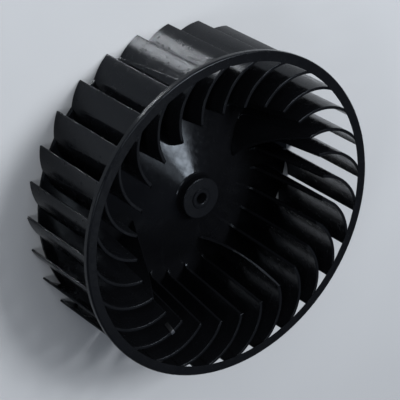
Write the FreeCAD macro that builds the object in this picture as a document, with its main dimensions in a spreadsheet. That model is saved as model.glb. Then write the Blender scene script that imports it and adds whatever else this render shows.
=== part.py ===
import FreeCAD, Part
import math
import os
import Sketcher

# Dryer fan impeller: a centrifugal wheel moulded in one piece.
# The wheel stands on its back, z = 0, with its axis on +Z and its open side up.
# The inner corner of one of the four long blades lies on the X axis.

os.makedirs("parts", exist_ok=True)
doc = FreeCAD.newDocument("dryer_fan_impeller")

# Driving sizes, in millimetres, with angles in degrees and plain counts
sizes = {
    "wheel_depth": 60,
    "ring_outer_radius": 90,
    "ring_width": 5.6,
    "ring_thickness": 3.6,
    "ring_edge_thickness": 0.4,
    "ring_rim_thickness": 1.4,
    "ring_edge_chamfer": 0.9,
    "disc_inset": 8.5,
    "disc_edge_thickness": 2.2,
    "disc_wall": 2,
    "disc_lip": 2,
    "dish_inner_slope": 26.1,
    "dish_outer_slope": 12,
    "dish_corner_radius": 46,
    "dish_bend_radius": 24,
    "boss_radius": 11.5,
    "boss_face_height": 32,
    "boss_root_chamfer": 1.2,
    "boss_edge_chamfer": 0.5,
    "collar_radius": 5.7,
    "collar_height": 0.5,
    "hub_radius": 8.5,
    "hub_back_height": 3,
    "bore_radius": 3,
    "bore_chamfer": 0.5,
    "blade_count": 28,
    "blade_setback": 0.3,
    "tip_inset": 2.6,
    "eye_radius": 60,
    "blade_inlet_lean": 14.4,
    "blade_outlet_lean": 73.7,
    "blade_foot_radius": 49.5,
    "blade_foot_rounding": 3.5,
    "blade_thickness": 1.7,
    "tip_thickness": 1.25,
    "web_count": 4,
    "web_thickness": 1.4,
    "web_curve_radius": 28.8,
    "web_lean": 12.2,
    "web_end_radius": 34.5,
    "web_end_height": 1.5,
    "rib_count": 8,
    "rib_thickness": 1.6,
    "rib_reach": 30,
}

# A small working allowance that keeps cuts and joints of features clean
overlap = 1

sheet = doc.addObject("Spreadsheet::Sheet", "sheet")
for row, (name, value) in enumerate(sizes.items(), start=1):
    sheet.set("A%d" % row, name)
    sheet.set("B%d" % row, str(value))
    sheet.setAlias("B%d" % row, name)
doc.recompute()


def cell(name):
    return "sheet." + name


def sine(name):
    return f"sin(sheet.{name} * 1 deg)"


def cosine(name):
    return f"cos(sheet.{name} * 1 deg)"


def tangent(name):
    return f"tan(sheet.{name} * 1 deg)"


# The ring, the disc and the blades' tips are all set in from the wheel's outer radius
ring_x = cell("ring_outer_radius")
ring_in_x = "(sheet.ring_outer_radius - sheet.ring_width)"
disc_x = "(sheet.ring_outer_radius - sheet.disc_inset)"
tip_x = "(sheet.ring_outer_radius - sheet.tip_inset)"

# The front face of the disc is a dish: a steep cone at the boss and a flat one at the rim, joined
# by a bend. drop lowers the whole line, for the back of the wall and for what is sunk into it.
corner_x = cell("dish_corner_radius")
corner_z = f"(sheet.disc_edge_thickness + ({disc_x} - {corner_x}) * {tangent('dish_outer_slope')})"
bend = cell("dish_bend_radius")
bend_reach = f"({bend} * tan((sheet.dish_inner_slope - sheet.dish_outer_slope) * 0.5 deg))"
bend_out_x = f"({corner_x} + {bend_reach} * {cosine('dish_outer_slope')})"
bend_out_z = f"({corner_z} - {bend_reach} * {sine('dish_outer_slope')})"
bend_in_x = f"({corner_x} - {bend_reach} * {cosine('dish_inner_slope')})"
bend_in_z = f"({corner_z} + {bend_reach} * {sine('dish_inner_slope')})"


def steep_height(x, drop="0"):
    return f"({corner_z} + ({corner_x} - {x}) * {tangent('dish_inner_slope')} - {drop})"


def flat_height(x, drop="0"):
    return f"({corner_z} + ({corner_x} - {x}) * {tangent('dish_outer_slope')} - {drop})"


# The camber line of a blade is one arc from the eye to the tip, set by its lean at both ends
camber = (f"(({tip_x}^2 - sheet.eye_radius^2) / 2 / ({tip_x} * "
          f"{sine('blade_outlet_lean')} - sheet.eye_radius * {sine('blade_inlet_lean')}))")


def curve_centre(radius, lean):
    # The centre of an arc through the blade's inner corner, on the blade's hollow side
    return (f"(sheet.eye_radius - {radius} * {sine(lean)})", f"(-{radius} * {cosine(lean)})")


class Outline:
    # A sketch on one of a body's origin planes, with every size tied to the sheet

    def __init__(self, body, name, role):
        self.sketch = body.newObject("Sketcher::SketchObject", name)
        plane = next(f for f in body.Origin.OriginFeatures if f.Role == role)
        self.sketch.AttachmentSupport = [(plane, "")]
        self.sketch.MapMode = "FlatFace"

    def value(self, rule):
        return float(self.sketch.evalExpression(rule))

    def add(self, curve):
        return self.sketch.addGeometry(curve, False)

    def tie(self, kind, *places):
        return self.sketch.addConstraint(Sketcher.Constraint(kind, *places))

    def drive(self, kind, places, rule):
        index = self.sketch.addConstraint(Sketcher.Constraint(kind, *places, self.value(rule)))
        self.sketch.setExpression("Constraints[%d]" % index, rule)

    def pin(self, curve, end, x_rule, y_rule):
        # Holds one point at its distances from the two axes of the sketch
        for kind, axis, rule in (("DistanceX", -2, x_rule), ("DistanceY", -1, y_rule)):
            if rule == "0":
                self.tie("PointOnObject", curve, end, axis)
            elif self.value(rule) < 0:
                self.drive(kind, (curve, end, -1, 1), f"-({rule})")
            else:
                self.drive(kind, (-1, 1, curve, end), rule)


def arc_between(start, end, radius, turn):
    # turn is 1 where the arc runs counter-clockwise from start to end, and -1 where it runs clockwise
    run = end - start
    aside = FreeCAD.Vector(-run.y, run.x, 0).normalize()
    reach = math.sqrt(radius ** 2 - (run.Length / 2) ** 2)
    centre = (start + end) * 0.5 + aside * reach * turn
    angles = [math.atan2(p.y - centre.y, p.x - centre.x) for p in (start, end)]
    if turn < 0:
        angles.reverse()
    return Part.ArcOfCircle(Part.Circle(centre, FreeCAD.Vector(0, 0, 1), radius), *angles)


def section(body, name, corners, arcs={}):
    # A closed outline in the XZ plane; arcs gives the radius and turn of the side after a corner
    outline = Outline(body, name, "XZ_Plane")
    points = [FreeCAD.Vector(outline.value(x), outline.value(y), 0) for x, y in corners]
    ends = []
    for number, start in enumerate(points):
        finish = points[(number + 1) % len(points)]
        if number in arcs:
            rule, turn = arcs[number]
            side = outline.add(arc_between(start, finish, outline.value(rule), turn))
            outline.drive("Radius", (side,), rule)
            ends.append((side, (1, 2) if turn > 0 else (2, 1)))
        else:
            side = outline.add(Part.LineSegment(start, finish))
            ends.append((side, (1, 2)))
    for number, (side, order) in enumerate(ends):
        following, next_order = ends[(number + 1) % len(ends)]
        outline.tie("Coincident", side, order[1], following, next_order[0])
        outline.pin(side, order[0], *corners[number])
    return outline.sketch


def has_cut(feature):
    if feature.Shape.Volume > feature.BaseFeature.Shape.Volume - 1:
        raise RuntimeError(feature.Name + " cuts nothing")


def turned(body, kind, name, corners, arcs={}):
    feature = body.newObject("PartDesign::" + kind, name)
    feature.Profile = section(body, name + "_section", corners, arcs)
    feature.ReferenceAxis = (feature.Profile[0], ["V_Axis"])
    feature.Angle = 360
    body.Tip = feature
    doc.recompute()
    if kind == "Groove":
        has_cut(feature)
    return feature


def swing(sketch, bearing, centre=("0", "0")):
    # Turns a sketch's upright plane to a bearing about the wheel's axis, or about another centre
    upright = FreeCAD.Rotation(FreeCAD.Vector(0, 1, 0), 1)
    sketch.AttachmentOffset = FreeCAD.Placement(FreeCAD.Vector(), upright)
    sketch.setExpression("AttachmentOffset.Base.x", centre[0])
    sketch.setExpression("AttachmentOffset.Base.z", f"-({centre[1]})")
    sketch.setExpression("AttachmentOffset.Rotation.Angle", bearing)


def cut_across(body, name, corners, bearing, arcs={}):
    # Cuts a single wall straight across, with an outline in the upright plane at this bearing
    sketch = section(body, name + "_section", corners, arcs)
    swing(sketch, bearing)
    feature = body.newObject("PartDesign::Pocket", name)
    feature.Profile = sketch
    feature.Type = "ThroughAll"
    feature.Midplane = True
    body.Tip = feature
    doc.recompute()
    has_cut(feature)


def swept(body, name, radius, lean, thickness, height, start, sweep):
    # A curved wall: its upright section is turned about the curve's own axis, from the bearing
    # start inwards
    sketch = section(body, name + "_section", [
        (f"({radius} - {thickness} / 2)", "0"),
        (f"({radius} + {thickness} / 2)", "0"),
        (f"({radius} + {thickness} / 2)", height),
        (f"({radius} - {thickness} / 2)", height),
    ])
    swing(sketch, start, curve_centre(radius, lean))
    feature = body.newObject("PartDesign::Revolution", name)
    feature.Profile = sketch
    feature.ReferenceAxis = (sketch, ["V_Axis"])
    feature.Angle = sweep
    body.Tip = feature
    doc.recompute()


def padded(body, name, profile, length):
    feature = body.newObject("PartDesign::Pad", name)
    feature.Profile = profile
    feature.setExpression("Length", length)
    body.Tip = feature
    doc.recompute()
    return feature


def repeated(body, name, count, feature=None, axis="N_Axis"):
    # Repeats one feature about the wheel's axis, or the whole body so far where none is named
    pattern = body.newObject("PartDesign::PolarPattern", name)
    if feature:
        pattern.Originals = [feature]
        pattern.Axis = (feature.Profile[0], [axis])
    else:
        pattern.TransformMode = "Whole shape"
        wheel_axis = next(f for f in body.Origin.OriginFeatures if f.Role == "Z_Axis")
        pattern.Axis = (wheel_axis, [""])
    pattern.Angle = 360
    pattern.setExpression("Occurrences", count)
    body.Tip = pattern
    doc.recompute()
    return pattern


def new_body(name):
    body = doc.addObject("PartDesign::Body", name)
    body.AllowCompound = True
    return body


# Disc, boss and hub: one turned section, hollow at the back under a wall of even thickness
disc = new_body("disc")
wall = cell("disc_wall")
boss_x = cell("boss_radius")
boss_face = cell("boss_face_height")
boss_root = cell("boss_root_chamfer")
hub_x = cell("hub_radius")
lip_x = f"({disc_x} - sheet.disc_lip)"
collar_top = "(sheet.boss_face_height + sheet.collar_height)"
turned(disc, "Revolution", "disc_turned", [
    (cell("bore_radius"), cell("hub_back_height")),
    (hub_x, cell("hub_back_height")),
    (hub_x, steep_height(hub_x, wall)),
    (corner_x, f"({corner_z} - {wall})"),
    (lip_x, flat_height(lip_x, wall)),
    (lip_x, "0"),
    (disc_x, "0"),
    (disc_x, cell("disc_edge_thickness")),
    (bend_out_x, bend_out_z),
    (bend_in_x, bend_in_z),
    (f"({boss_x} + {boss_root} * {cosine('dish_inner_slope')})",
     f"({steep_height(boss_x)} - {boss_root} * {sine('dish_inner_slope')})"),
    (boss_x, f"({steep_height(boss_x)} + {boss_root})"),
    (boss_x, f"({boss_face} - sheet.boss_edge_chamfer)"),
    (f"({boss_x} - sheet.boss_edge_chamfer)", boss_face),
    (cell("collar_radius"), boss_face),
    (cell("collar_radius"), collar_top),
    ("(sheet.bore_radius + sheet.bore_chamfer)", collar_top),
    (cell("bore_radius"), f"({collar_top} - sheet.bore_chamfer)"),
], {8: (bend, -1)})

# Ribs behind the disc, from the hub to the wall, with their tops sunk halfway into the wall
half_wall = "(sheet.disc_wall / 2)"
rib_x = cell("rib_reach")
rib_in = f"(sheet.hub_radius - {overlap})"
rib_foot = f"(sheet.hub_back_height + {overlap})"
rib = padded(disc, "rib", section(disc, "rib_section", [
    (rib_in, rib_foot),
    (hub_x, rib_foot),
    (rib_x, steep_height(rib_x, half_wall)),
    (rib_in, steep_height(rib_in, half_wall)),
]), cell("rib_thickness"))
rib.Midplane = True
repeated(disc, "ribs", cell("rib_count"), rib, "V_Axis")


def root_cut(body, name):
    # The piece ends halfway into the disc's wall, so that nothing of it shows behind the disc
    far = f"({lip_x} + {overlap})"
    turned(body, "Groove", name, [
        ("0", f"(-{overlap})"),
        (far, f"(-{overlap})"),
        (far, flat_height(far, half_wall)),
        (corner_x, f"({corner_z} - {half_wall})"),
        ("0", steep_height("0", half_wall)),
    ])


# Blade: the part within the disc's edge is formed by the front half of the mould and the thinner
# part outside it by the back half, with a fine step between them that slants out to the ring
blade = new_body("blade")
depth = cell("wheel_depth")
blade_front = "(sheet.wheel_depth - sheet.blade_setback)"
centre_x, centre_y = curve_centre(camber, "blade_inlet_lean")
centre_bearing = f"atan({centre_y} / {centre_x})"
reach = f"sqrt({centre_x}^2 + {centre_y}^2)"
tip_bearing = (f"(180 deg + {centre_bearing} - acos(({reach}^2 + {camber}^2 - {tip_x}^2)"
               f" / 2 / {reach} / {camber}))")
step_bearing = (f"({centre_bearing} + acos(({reach}^2 + {disc_x}^2 - {camber}^2)"
                f" / 2 / {reach} / {disc_x}))")
swept(blade, "blade_inside", camber, "blade_inlet_lean", cell("blade_thickness"), blade_front,
      tip_bearing, 150)
far_out = f"({ring_x} + 9 * {overlap})"
cut_across(blade, "parting", [
    (disc_x, "0"),
    (ring_in_x, depth),
    (far_out, depth),
    (far_out, f"(-{overlap})"),
    (disc_x, f"(-{overlap})"),
], step_bearing)
swept(blade, "blade_outside", camber, "blade_inlet_lean", cell("tip_thickness"), blade_front,
      tip_bearing, 60)

# Eye: the blade's inner edge leans in towards the disc and ends in a small rounding
foot_x = cell("blade_foot_radius")
foot_z = flat_height(foot_x)
cut_across(blade, "eye", [
    ("0", depth),
    (cell("eye_radius"), depth),
    (f"({foot_x} + sheet.blade_foot_rounding * (1 + {sine('dish_outer_slope')}))",
     f"({foot_z} + sheet.blade_foot_rounding * {cosine('dish_outer_slope')})"),
    (foot_x, foot_z),
    (foot_x, f"(-{overlap})"),
    ("0", f"(-{overlap})"),
], "0 deg", {2: (cell("blade_foot_rounding"), -1)})
root_cut(blade, "blade_root")
repeated(blade, "blades", cell("blade_count"))

# Webs: four of the blades run on inwards along nearly the same arc, and slope down to the disc
web = new_body("web")
web_x = cell("web_end_radius")
swept(web, "web_swept", cell("web_curve_radius"), "web_lean", cell("web_thickness"), blade_front,
      "(88 deg - sheet.web_lean * 1 deg)", 90)
turned(web, "Groove", "web_slope", [
    ("0", depth),
    (f"(sheet.eye_radius - {overlap} / 2)", depth),
    (web_x, f"({steep_height(web_x)} + sheet.web_end_height)"),
    (web_x, f"(-{overlap})"),
    ("0", f"(-{overlap})"),
])
root_cut(web, "web_root")
repeated(web, "webs", cell("web_count"))

# Ring that ties the blades' front ends: flat in front, bevelled behind, chamfered at its outer edge
ring = new_body("ring")
ring_back = "(sheet.wheel_depth - sheet.ring_thickness)"
turned(ring, "Revolution", "ring_turned", [
    (ring_in_x, "(sheet.wheel_depth - sheet.ring_edge_thickness)"),
    (f"({ring_x} - sheet.ring_rim_thickness)", ring_back),
    (ring_x, ring_back),
    (ring_x, "(sheet.wheel_depth - sheet.ring_edge_chamfer)"),
    (f"({ring_x} - sheet.ring_edge_chamfer)", depth),
    (ring_in_x, depth),
])

# The wheel is one moulding, so its forms are fused into a single solid
impeller = doc.addObject("Part::MultiFuse", "impeller")
impeller.Label = "impeller"
impeller.Shapes = [disc, blade, web, ring]
doc.recompute()

# Every feature has to be sound before anything is written
for item in doc.Objects:
    if "Invalid" in item.State or "Error" in item.State:
        raise RuntimeError(item.Name + " failed")
shape = impeller.Shape
if shape.isNull() or not shape.isValid() or len(shape.Solids) != 1:
    raise RuntimeError("impeller is not one sound solid")
shape.exportStep("parts/impeller.step")
print("impeller volume %.0f mm3, depth %.2f mm" % (shape.Volume, shape.BoundBox.ZLength))
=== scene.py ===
import bmesh
import bpy
import math
from mathutils import Euler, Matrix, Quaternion, Vector


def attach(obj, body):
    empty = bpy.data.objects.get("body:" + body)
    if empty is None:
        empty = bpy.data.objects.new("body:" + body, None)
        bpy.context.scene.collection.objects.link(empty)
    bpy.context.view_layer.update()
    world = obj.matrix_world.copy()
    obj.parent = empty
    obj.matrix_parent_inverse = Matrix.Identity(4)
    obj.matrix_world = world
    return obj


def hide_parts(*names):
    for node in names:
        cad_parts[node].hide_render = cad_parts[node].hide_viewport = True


# Dryer fan impeller: a centrifugal wheel moulded in one piece in black plastic. It lies on its
# back with its open side up. Blender is in metres, and the dictionaries are in millimetres and
# degrees, except where a note says otherwise.

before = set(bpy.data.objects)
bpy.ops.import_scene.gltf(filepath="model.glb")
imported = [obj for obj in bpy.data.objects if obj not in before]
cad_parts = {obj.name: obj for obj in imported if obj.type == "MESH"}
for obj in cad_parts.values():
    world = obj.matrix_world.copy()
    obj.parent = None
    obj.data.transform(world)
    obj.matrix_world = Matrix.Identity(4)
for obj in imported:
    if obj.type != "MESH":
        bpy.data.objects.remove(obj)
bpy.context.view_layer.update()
scene = bpy.context.scene
weldReach = 2e-6             # metres: points nearer than this become one

# What all parts of the wheel share
wheel = {
    "depth": 60.0,
    "steps": 192,            # facets of a full turn
    "softAngle": 35,         # edges that turn by more than this are rounded
    "smoothAngle": 32,       # edges that turn by less than this are shaded smooth
    "beyond": 5.0,           # how far the cutters reach past what they cut
    "pinhole": 0.01,         # kept at a cutter's axis, so that no faces meet in a point
}


def metres(*sizes):
    return Vector([size / 1000 for size in sizes])


def tangentOf(degrees):
    return math.tan(math.radians(degrees))


def pick(piece=None):
    # object mode, with this piece alone selected, or nothing
    if bpy.context.object and bpy.context.object.mode != "OBJECT":
        bpy.ops.object.mode_set(mode="OBJECT")
    bpy.ops.object.select_all(action="DESELECT")
    if piece:
        piece.select_set(True)
        bpy.context.view_layer.objects.active = piece


def editAll(piece):
    pick(piece)
    bpy.ops.object.mode_set(mode="EDIT")
    bpy.ops.mesh.select_mode(type="VERT")
    bpy.ops.mesh.select_all(action="SELECT")


def closeUp(piece):
    editAll(piece)
    bpy.ops.mesh.remove_doubles(threshold=weldReach)
    bpy.ops.mesh.normals_make_consistent(inside=False)
    bpy.ops.object.mode_set(mode="OBJECT")
    return piece


def selectWhere(piece, isWanted):
    # in edit mode, by each point's place
    mesh = bmesh.from_edit_mesh(piece.data)
    bpy.ops.mesh.select_all(action="DESELECT")
    for vertex in mesh.verts:
        vertex.select_set(isWanted(vertex.co))
    mesh.select_flush(True)
    bmesh.update_edit_mesh(piece.data)


def traced(name, corners, centre=(0, 0), bearing=0):
    # An upright face, drawn from corner to corner. A corner is its distance from an upright axis,
    # its height and, where it is rounded, how far that reaches along the sides and its facets.
    turn = math.radians(bearing)

    def spotOf(corner):
        out, up = corner[:2]
        return metres(centre[0] + out * math.cos(turn), centre[1] + out * math.sin(turn), up)

    pick()
    bpy.ops.mesh.primitive_plane_add(size=0.001, location=(0, 0, 0))
    piece = bpy.context.object
    piece.name = name
    editAll(piece)
    bpy.ops.mesh.merge(type="CENTER")    # leaves one point, from which the outline is drawn
    here = spotOf(corners[0])
    bpy.ops.transform.translate(value=here)
    for corner in corners[1:] + corners[:1]:
        there = spotOf(corner)
        bpy.ops.mesh.extrude_region_move(TRANSFORM_OT_translate={"value": there - here})
        here = there
    bpy.ops.mesh.select_all(action="SELECT")
    bpy.ops.mesh.remove_doubles(threshold=weldReach)
    bpy.ops.mesh.select_all(action="SELECT")
    bpy.ops.mesh.edge_face_add()
    for corner in corners:
        if len(corner) == 4:
            spot = spotOf(corner)
            selectWhere(piece, lambda place: (place - spot).length < weldReach / 2)
            bpy.ops.mesh.bevel(offset=corner[2] / 1000, segments=corner[3], affect="VERTICES")
    bpy.ops.mesh.select_all(action="SELECT")
    return piece


def turned(name, corners, steps=wheel["steps"]):
    # one full turn about the wheel's axis
    piece = traced(name, corners)
    bpy.ops.mesh.delete(type="ONLY_FACE")
    bpy.ops.mesh.select_all(action="SELECT")
    bpy.ops.mesh.spin(steps=steps, angle=math.tau, center=(0, 0, 0), axis=(0, 0, 1))
    return closeUp(piece)


def swept(name, corners, centre, start, sweep, steps):
    # part of a turn about another upright axis; spin counts its angle the other way round
    piece = traced(name, corners, centre, start)
    bpy.ops.mesh.spin(steps=steps, angle=-math.radians(sweep),
                      center=metres(*centre, 0), axis=(0, 0, 1))
    return closeUp(piece)


def slab(name, corners, width):
    # a flat shape of this width, with the XZ plane at its middle
    piece = traced(name, corners)
    bpy.ops.transform.translate(value=metres(0, -width / 2, 0))
    bpy.ops.mesh.extrude_region_move(TRANSFORM_OT_translate={"value": metres(0, width, 0)})
    return closeUp(piece)


def finishWith(piece, kind, settings):
    change = piece.modifiers.new(kind.lower(), kind)
    for name, value in settings.items():
        setattr(change, name, value)
    pick(piece)
    bpy.ops.object.modifier_apply(modifier=change.name)
    return piece


def combine(piece, tool, operation):
    finishWith(piece, "BOOLEAN", {"operation": operation, "object": tool, "solver": "MANIFOLD"})
    pick(tool)
    bpy.ops.object.delete()


def soften(piece, reach, facets):
    return finishWith(piece, "BEVEL", {
        "width": reach / 1000,
        "segments": facets,
        "limit_method": "ANGLE",
        "angle_limit": math.radians(wheel["softAngle"]),
        "use_clamp_overlap": False,
    })


def shadeSmooth(piece):
    pick(piece)
    bpy.ops.object.shade_smooth_by_angle(angle=math.radians(wheel["smoothAngle"]))


def allAround(piece, count):
    # one is modelled, the others are copies of it at even steps about the wheel's axis
    editAll(piece)
    bpy.ops.mesh.spin(steps=count - 1, angle=math.tau * (count - 1) / count, dupli=True,
                      center=(0, 0, 0), axis=(0, 0, 1))
    bpy.ops.object.mode_set(mode="OBJECT")
    return piece


# Disc with boss and hub: a steep cone round the boss and a flat one out to the rim, joined by a
# bend. Its back is hollow under a wall of even thickness.
disc = {
    "rim": 81.5,
    "rimHeight": 2.2,
    "corner": 46.0,          # where the two cones would meet if they had no bend
    "outerSlope": 12.0,
    "innerSlope": 26.1,
    "wall": 2.0,
    "lip": 2.0,
    "boss": 11.5,
    "bossTop": 32.0,
    "collar": 5.7,
    "collarTop": 32.5,
    "bore": 3.0,
    "hub": 8.5,
    "hubBack": 3.0,
    "bend": 24.0,            # radius of the bend between the cones
    "bendFacets": 10,
    # the other roundings: how far each reaches along its sides, and its facets
    "rounds": {
        "hubBore": (0.4, 2),
        "hubEdge": (0.5, 3),
        "hubFoot": (1.2, 4),
        "backBend": (2.8, 6),
        "lipFoot": (0.4, 2),
        "lipEdge": (0.25, 2),
        "rimBack": (0.3, 3),
        "rimFront": (0.5, 3),
        "bossFoot": (1.6, 6),
        "bossEdge": (0.6, 4),
        "collarFoot": (0.2, 2),
        "collarEdge": (0.2, 2),
        "boreEdge": (0.5, 3),
    },
}
cornerHeight = disc["rimHeight"] + (disc["rim"] - disc["corner"]) * tangentOf(disc["outerSlope"])
lipIn = disc["rim"] - disc["lip"]


def dishHeight(out, drop=0):
    slope = disc["innerSlope"] if out < disc["corner"] else disc["outerSlope"]
    return cornerHeight + (disc["corner"] - out) * tangentOf(slope) - drop


def makeDisc():
    wall, rounds = disc["wall"], disc["rounds"]
    bendReach = disc["bend"] * tangentOf((disc["innerSlope"] - disc["outerSlope"]) / 2)
    return turned("fan_wheel", [
        (disc["bore"], disc["hubBack"], *rounds["hubBore"]),
        (disc["hub"], disc["hubBack"], *rounds["hubEdge"]),
        (disc["hub"], dishHeight(disc["hub"], wall), *rounds["hubFoot"]),
        (disc["corner"], dishHeight(disc["corner"], wall), *rounds["backBend"]),
        (lipIn, dishHeight(lipIn, wall), *rounds["lipFoot"]),
        (lipIn, 0, *rounds["lipEdge"]),
        (disc["rim"], 0, *rounds["rimBack"]),
        (disc["rim"], disc["rimHeight"], *rounds["rimFront"]),
        (disc["corner"], cornerHeight, bendReach, disc["bendFacets"]),
        (disc["boss"], dishHeight(disc["boss"]), *rounds["bossFoot"]),
        (disc["boss"], disc["bossTop"], *rounds["bossEdge"]),
        (disc["collar"], disc["bossTop"], *rounds["collarFoot"]),
        (disc["collar"], disc["collarTop"], *rounds["collarEdge"]),
        (disc["bore"], disc["collarTop"], *rounds["boreEdge"]),
    ])


# Ribs behind the disc, out from the hub, with their tops sunk into the wall
rib = {
    "count": 8,
    "inner": 7.5,
    "outer": 30.0,
    "back": 4.0,
    "thickness": 1.6,
    "soft": (0.25, 2),       # how far the rounding of its edges reaches, and its facets
}


def makeRibs():
    half = disc["wall"] / 2
    piece = slab("rib", [
        (rib["inner"], rib["back"]),
        (disc["hub"], rib["back"]),
        (rib["outer"], dishHeight(rib["outer"], half)),
        (rib["inner"], dishHeight(rib["inner"], half)),
    ], rib["thickness"])
    return allAround(soften(piece, *rib["soft"]), rib["count"])


# Blades: each is one arc in plan, thicker within the disc's edge than outside it, because the two
# halves of the mould meet there. The inner edges lean in towards the disc, round the eye.
blade = {
    "count": 28,
    "radius": 29.281,
    "centre": (52.718, -28.361),
    "tipBearing": -4.08,     # from that centre, as is the sweep
    "sweep": 104,
    "steps": 52,
    "back": 0.05,            # not quite level with the rim's back, so that no two faces coincide
    "front": 59.7,
    "thickness": 1.7,
    "tipThickness": 1.25,
    "tipSweep": 30,
    "tipSteps": 15,
    "partingBearing": -12.04,   # from the wheel's axis: the plane in which the mould's halves meet
    "partingBack": 81.5,        # how far out it lies at the back
    "partingFront": 84.4,       # and at the front
    "eye": 60.0,             # how far out the inner edge is at the front
    "foot": 49.5,            # and where it runs out onto the dish
    "footRounding": 3.5,
    "footFacets": 7,
    "cutterWidth": 240.0,    # wider than the wheel
    "soft": (0.35, 3),
}


def wallSection(radius, thickness):
    inner, outer = radius - thickness / 2, radius + thickness / 2
    back, front = blade["back"], blade["front"]
    return [(inner, back), (outer, back), (outer, front), (inner, front)]


def rootCutter():
    # blades and webs end halfway into the disc's wall and lip
    half = disc["wall"] / 2
    near, far = wheel["pinhole"], disc["rim"] - disc["lip"] / 2
    low = -wheel["beyond"]
    return turned("root_cutter", [
        (near, low),
        (far, low),
        (far, dishHeight(far, half)),
        (disc["corner"], cornerHeight - half),
        (near, dishHeight(near, half)),
    ])


def eyeCutter():
    # all that lies within the inner edge, whose foot runs out level with the dish in a rounding
    slope = math.radians(disc["outerSlope"])
    rounding, facets = blade["footRounding"], blade["footFacets"]
    kneeOut = blade["foot"] + rounding * (1 + math.sin(slope))
    kneeHeight = dishHeight(blade["foot"]) + rounding * math.cos(slope)
    arc = []
    for number in range(facets + 1):
        angle = -(math.pi / 2 + slope) * number / facets
        arc.append((kneeOut - rounding + rounding * math.cos(angle),
                    kneeHeight + rounding * math.sin(angle)))
    lean = (blade["eye"] - kneeOut) / (wheel["depth"] - kneeHeight)
    low, top = -wheel["beyond"], wheel["depth"] + wheel["beyond"]
    return slab("eye_cutter", [
        (low, top),
        (blade["eye"] + lean * wheel["beyond"], top),
        *arc,
        (arc[-1][0], low),
        (low, low),
    ], blade["cutterWidth"])


def makeBlades():
    piece = swept("blade", wallSection(blade["radius"], blade["thickness"]), blade["centre"],
                  blade["tipBearing"], blade["sweep"], blade["steps"])
    bearing = math.radians(blade["partingBearing"])
    outward = Vector((math.cos(bearing), math.sin(bearing), 0))
    rise = Vector((0, 0, (blade["partingFront"] - blade["partingBack"]) / wheel["depth"]))
    editAll(piece)
    bpy.ops.mesh.bisect(plane_co=outward * blade["partingBack"] / 1000, plane_no=outward - rise,
                        use_fill=True, clear_outer=True)
    closeUp(piece)
    combine(piece, eyeCutter(), "DIFFERENCE")
    combine(piece, rootCutter(), "DIFFERENCE")
    soften(piece, *blade["soft"])
    tip = swept("blade_tip", wallSection(blade["radius"], blade["tipThickness"]), blade["centre"],
                blade["tipBearing"], blade["tipSweep"], blade["tipSteps"])
    combine(piece, soften(tip, *blade["soft"]), "UNION")
    return allAround(piece, blade["count"])


# Webs: four of the blades run on inwards and slope down to the disc
web = {
    "count": 4,
    "radius": 28.8,
    "centre": (53.914, -28.150),
    "start": 75.8,
    "sweep": 90,
    "steps": 60,
    "thickness": 1.4,
    "top": 59.5,             # how far out the slope starts, at the front
    "end": 34.5,             # and how far out it ends
    "endHeight": 1.5,        # how high the web still stands there above the dish
    "soft": (0.4, 3),
}


def makeWebs():
    piece = swept("web", wallSection(web["radius"], web["thickness"]), web["centre"],
                  web["start"], web["sweep"], web["steps"])
    endTop = dishHeight(web["end"]) + web["endHeight"]
    lean = (web["top"] - web["end"]) / (wheel["depth"] - endTop)
    near, low, top = wheel["pinhole"], -wheel["beyond"], wheel["depth"] + wheel["beyond"]
    combine(piece, turned("slope_cutter", [
        (near, top),
        (web["top"] + lean * wheel["beyond"], top),
        (web["end"], endTop),
        (web["end"], low),
        (near, low),
    ]), "DIFFERENCE")
    combine(piece, rootCutter(), "DIFFERENCE")
    return allAround(soften(piece, *web["soft"]), web["count"])


# Ring that ties the blades' front ends: flat in front, bevelled behind, with its outer front edge
# well rounded
ring = {
    "outer": 90.0,
    "inner": 84.4,
    "back": 56.4,
    "innerEdge": 0.4,        # depth of the inner edge before the bevel starts
    "rim": 1.4,              # width of the outermost part, which has the full depth
    "draft": 0.25,           # how far the outer wall leans in towards its back
    "steps": 256,
    "rounds": {"inner": (0.15, 2), "back": (0.4, 3), "front": (1.1, 6)},
}


def makeRing():
    front, rounds = wheel["depth"], ring["rounds"]
    return turned("ring", [
        (ring["inner"], front - ring["innerEdge"], *rounds["inner"]),
        (ring["outer"] - ring["rim"], ring["back"], *rounds["back"]),
        (ring["outer"] - ring["draft"], ring["back"], *rounds["back"]),
        (ring["outer"], front, *rounds["front"]),
        (ring["inner"], front, *rounds["inner"]),
    ], ring["steps"])


def makeWheel():
    piece = makeDisc()
    for part in (makeRibs(), makeBlades(), makeWebs(), makeRing()):
        combine(piece, part, "UNION")
    shadeSmooth(piece)
    # broad faces rule how the narrow facets of the roundings are shaded
    finishWith(piece, "WEIGHTED_NORMAL", {"keep_sharp": True, "weight": 100})
    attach(piece, "root")
    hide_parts("impeller")
    return piece


wheelPiece = makeWheel()
print("wheel done")


# Small clip that balances the wheel: a folded strip of spring steel pushed over one blade's front
# edge. Its legs lean towards the blade's inner edge.
clip = {
    "blade": 9,
    "start": 57.9,           # from the blade's own centre, as are the sweep and the lean
    "sweep": 4.4,
    "steps": 3,
    "thickness": 0.26,
    "drop": 7.6,             # how far its legs reach down
    "top": 59.97,
    "lean": 3.1,
    "soft": (0.1, 2),
}


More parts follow.
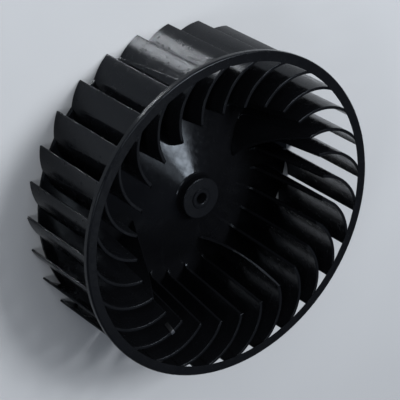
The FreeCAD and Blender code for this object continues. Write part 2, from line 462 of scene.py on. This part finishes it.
def makeClip():
    turn = math.tau * clip["blade"] / blade["count"]
    x, y = blade["centre"]
    centre = (x * math.cos(turn) - y * math.sin(turn), x * math.sin(turn) + y * math.cos(turn))
    near = blade["radius"] - blade["thickness"] / 2
    far = blade["radius"] + blade["thickness"] / 2
    under, low = clip["top"] - clip["thickness"], clip["top"] - clip["drop"]
    piece = swept("balance_clip", [
        (near - clip["thickness"], low),
        (near, low),
        (near, under),
        (far, under),
        (far, low),
        (far + clip["thickness"], low),
        (far + clip["thickness"], clip["top"]),
        (near - clip["thickness"], clip["top"]),
    ], centre, clip["start"] + math.degrees(turn), clip["sweep"], clip["steps"])
    editAll(piece)
    selectWhere(piece, lambda place: place.z < (low + under) / 2 / 1000)    # the legs' lower ends
    bpy.ops.transform.rotate(value=-math.radians(clip["lean"]), orient_axis="Z",
                             center_override=metres(*centre, low))
    shadeSmooth(soften(piece, *clip["soft"]))
    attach(piece, "root")
    return piece


clipPiece = makeClip()
print("clip done")


def linearColour(hexText):
    # an sRGB hex colour as the linear one that shaders take
    values = []
    for start in (1, 3, 5):
        part = int(hexText[start:start + 2], 16) / 255
        values.append(part / 12.92 if part <= 0.04045 else ((part + 0.055) / 1.055) ** 2.4)
    return (*values, 1)


def addNode(tree, kind, settings=None, sockets=None, links=None):
    # settings are the node's own fields, sockets its fixed values, links its inputs from others
    node = tree.nodes.new(kind)
    for name, value in (settings or {}).items():
        setattr(node, name, value)
    for name, value in (sockets or {}).items():
        node.inputs[name].default_value = value
    for name, (source, output) in (links or {}).items():
        tree.links.new(source.outputs[output], node.inputs[name])
    return node


def newMaterial(name):
    material = bpy.data.materials.new(name)
    material.use_nodes = True
    material.node_tree.nodes.clear()
    return material, material.node_tree


def perMetre(spot):
    # the noise scale that gives one spot in this many millimetres
    return 1000 / spot


plastic = {
    "colour": "#0A0B0D",
    "dullColour": "#101114",
    # painted cool tint on every reflection and highlight: it stands in for cool light and blue
    # surroundings, and is not a colour the plastic has
    "paintedCoolShine": "#DAE8F8",
    "specular": 0.19,
    "ior": 1.45,
    "roughness": (0.13, 0.28),
    "roughnessRange": (0.35, 0.65),     # the mottle's values that get these two
    # from the widest to the finest: a spot's width and height, the noise's detail and roughness
    "layers": {
        "flow": (15.0, 0.03, 2.0, 0.5),     # slow waviness where the melt cooled
        "mottle": (3.2, 0.032, 3.0, 0.6),   # patches that filled a little later than the rest
        "grain": (0.9, 0.028, 3.0, 0.6),    # the mould's pebble, drawn coarser than it is to show
    },
}


def makePlastic():
    # Polypropylene with a filler, injection moulded in black. Its skin is satin, with a fine
    # pebble that breaks highlights into speckle, and slightly dull patches where the melt met the
    # mould.
    material, tree = newMaterial("moulded_black_polypropylene")
    place = addNode(tree, "ShaderNodeTexCoord")
    noise, bump = {}, None
    for name, (spot, height, detail, roughness) in plastic["layers"].items():
        noise[name] = addNode(tree, "ShaderNodeTexNoise", {}, {
            "Scale": perMetre(spot), "Detail": detail, "Roughness": roughness,
        }, {"Vector": (place, "Object")})
        relief = {"Height": (noise[name], "Fac")}
        if bump:
            relief["Normal"] = (bump, "Normal")
        bump = addNode(tree, "ShaderNodeBump", {}, {
            "Strength": 1.0, "Distance": height / 1000,
        }, relief)
    tone = addNode(tree, "ShaderNodeMix", {"data_type": "RGBA"}, {
        "A": linearColour(plastic["colour"]), "B": linearColour(plastic["dullColour"]),
    }, {"Factor": (noise["flow"], "Fac")})
    rough = addNode(tree, "ShaderNodeMapRange", {}, {
        "From Min": plastic["roughnessRange"][0], "From Max": plastic["roughnessRange"][1],
        "To Min": plastic["roughness"][0], "To Max": plastic["roughness"][1],
    }, {"Value": (noise["mottle"], "Fac")})
    shader = addNode(tree, "ShaderNodeBsdfPrincipled", {}, {
        "IOR": plastic["ior"], "Specular IOR Level": plastic["specular"], "Metallic": 0.0,
        "Specular Tint": linearColour(plastic["paintedCoolShine"]),
    }, {
        "Base Color": (tone, "Result"), "Roughness": (rough, "Result"), "Normal": (bump, "Normal"),
    })
    addNode(tree, "ShaderNodeOutputMaterial", {}, {}, {"Surface": (shader, "BSDF")})
    return material


steel = {
    "colour": "#8A8D92",
    "roughness": (0.28, 0.42),
    "roughnessRange": (0.3, 0.7),       # the streaks' values that get these two
    "streak": 0.35,          # rolling marks, drawn coarser than they are so that they show
    "streakDetail": 2.0,
    "stretch": 12.0,         # how many times longer than wide they are
}


def makeSteel():
    # Spring steel strip, cold rolled and left bare: fine streaks along the strip broaden its shine.
    material, tree = newMaterial("cold_rolled_spring_steel")
    place = addNode(tree, "ShaderNodeTexCoord")
    along = addNode(tree, "ShaderNodeMapping", {}, {
        "Scale": (1.0, 1.0, 1 / steel["stretch"]),
    }, {"Vector": (place, "Object")})
    streak = addNode(tree, "ShaderNodeTexNoise", {}, {
        "Scale": perMetre(steel["streak"]), "Detail": steel["streakDetail"],
    }, {"Vector": (along, "Vector")})
    rough = addNode(tree, "ShaderNodeMapRange", {}, {
        "From Min": steel["roughnessRange"][0], "From Max": steel["roughnessRange"][1],
        "To Min": steel["roughness"][0], "To Max": steel["roughness"][1],
    }, {"Value": (streak, "Fac")})
    shader = addNode(tree, "ShaderNodeBsdfPrincipled", {}, {
        "Base Color": linearColour(steel["colour"]), "Metallic": 1.0,
    }, {"Roughness": (rough, "Result")})
    addNode(tree, "ShaderNodeOutputMaterial", {}, {}, {"Surface": (shader, "BSDF")})
    return material


for piece, material in ((wheelPiece, makePlastic()), (clipPiece, makeSteel())):
    piece.data.materials.clear()
    piece.data.materials.append(material)
print("plastic and steel done")

floor = {
    "size": 6000,
    "colours": ("#B9BDC2", "#BEC2C7"),
    "roughness": 0.9,
    "patch": 60.0,           # faint unevenness of matt paper
}


def makeFloor():
    pick()
    bpy.ops.mesh.primitive_plane_add(size=floor["size"] / 1000, location=(0, 0, 0))
    ground = bpy.context.object
    ground.name = "floor"
    # backdrop paper, uncoated: even, and without gloss
    material, tree = newMaterial("matt_backdrop_paper")
    place = addNode(tree, "ShaderNodeTexCoord")
    patch = addNode(tree, "ShaderNodeTexNoise", {}, {"Scale": perMetre(floor["patch"])},
                    {"Vector": (place, "Object")})
    tone = addNode(tree, "ShaderNodeMix", {"data_type": "RGBA"}, {
        "A": linearColour(floor["colours"][0]), "B": linearColour(floor["colours"][1]),
    }, {"Factor": (patch, "Fac")})
    shader = addNode(tree, "ShaderNodeBsdfPrincipled", {}, {"Roughness": floor["roughness"]},
                     {"Base Color": (tone, "Result")})
    addNode(tree, "ShaderNodeOutputMaterial", {}, {}, {"Surface": (shader, "BSDF")})
    ground.data.materials.append(material)
    ground.visible_shadow = False       # lets the lamp beneath light the wheel


makeFloor()
print("floor done")

studio = {
    "skyColour": "#CFE0FA",
    "skyStrength": 0.11,
    # each lamp: its place and the point it faces in metres, roll in degrees, width and height in
    # metres, watts
    "lamps": {
        "overhead": ((0.15, -0.52, 1.00), (0.018, -0.005, 0.022), 51, 0.40, 0.28, 9.8),
        "front": ((1.15, 0.10, 1.10), (0, 0, 0.03), 0, 0.50, 0.50, 4.3),
        "side": ((0.60, 0.78, 0.89), (0, 0, 0.03), 0, 0.30, 0.20, 2.5),
        "low": ((0.36, -1.12, 0.56), (0, 0, 0.03), 0, 0.30, 0.20, 2.0),
        "rim": ((1.12, -0.50, 0.29), (0, 0, 0.03), 0, 0.70, 0.16, 2.4),
        "ceiling": ((0.22, -0.11, 1.00), (0.030, 0.004, 0.018), 0, 0.20, 0.18, 0.55),
        "bounce": ((-0.863, -0.264, 1.198), (0, 0, 0.03), 0, 0.30, 0.26, 0.14),
        "beneath": ((0.448, -0.150, -0.432), (0.079, -0.032, 0.025), 0, 0.17, 0.12, 0.85),
    },
}


def makeStudio():
    world = bpy.data.worlds.new("soft_room")
    world.use_nodes = True
    tree = world.node_tree
    tree.nodes.clear()
    sky = addNode(tree, "ShaderNodeBackground", {}, {
        "Color": linearColour(studio["skyColour"]), "Strength": studio["skyStrength"],
    })
    addNode(tree, "ShaderNodeOutputWorld", {}, {}, {"Surface": (sky, "Background")})
    scene.world = world
    for name, (place, aim, roll, width, height, watts) in studio["lamps"].items():
        lampData = bpy.data.lights.new(name, "AREA")
        lampData.shape = "RECTANGLE"
        lampData.size = width
        lampData.size_y = height
        lampData.energy = watts
        # reflected rays stop at the floor, so the lamp beneath counts by direct light alone
        lampData.cycles.use_multiple_importance_sampling = place[2] > 0
        lamp = bpy.data.objects.new(name, lampData)
        lamp.location = place
        facing = (Vector(aim) - Vector(place)).to_track_quat("-Z", "Y")
        lamp.rotation_euler = (facing @ Quaternion((0, 0, 1), math.radians(roll))).to_euler()
        scene.collection.objects.link(lamp)


makeStudio()
print("studio done")

# In metres and radians; the lens and the width of the square frame are in millimetres
camera = {
    "location": (0.6425, 0.2162, 0.7447),
    "turn": (-0.4560, -0.6315, -2.1254),
    "lens": 167.88,
    "frameWidth": 36.0,
    "farEnd": 20.0,
}


def makeCamera():
    cameraData = bpy.data.cameras.new("photo_camera")
    cameraData.sensor_fit = "HORIZONTAL"
    cameraData.sensor_width = camera["frameWidth"]
    cameraData.lens = camera["lens"]
    cameraData.clip_end = camera["farEnd"]
    photoCamera = bpy.data.objects.new("photo_camera", cameraData)
    photoCamera.location = camera["location"]
    photoCamera.rotation_euler = Euler(camera["turn"], "XYZ")
    scene.collection.objects.link(photoCamera)
    scene.camera = photoCamera


makeCamera()
scene.view_settings.view_transform = "Standard"
print("camera done")
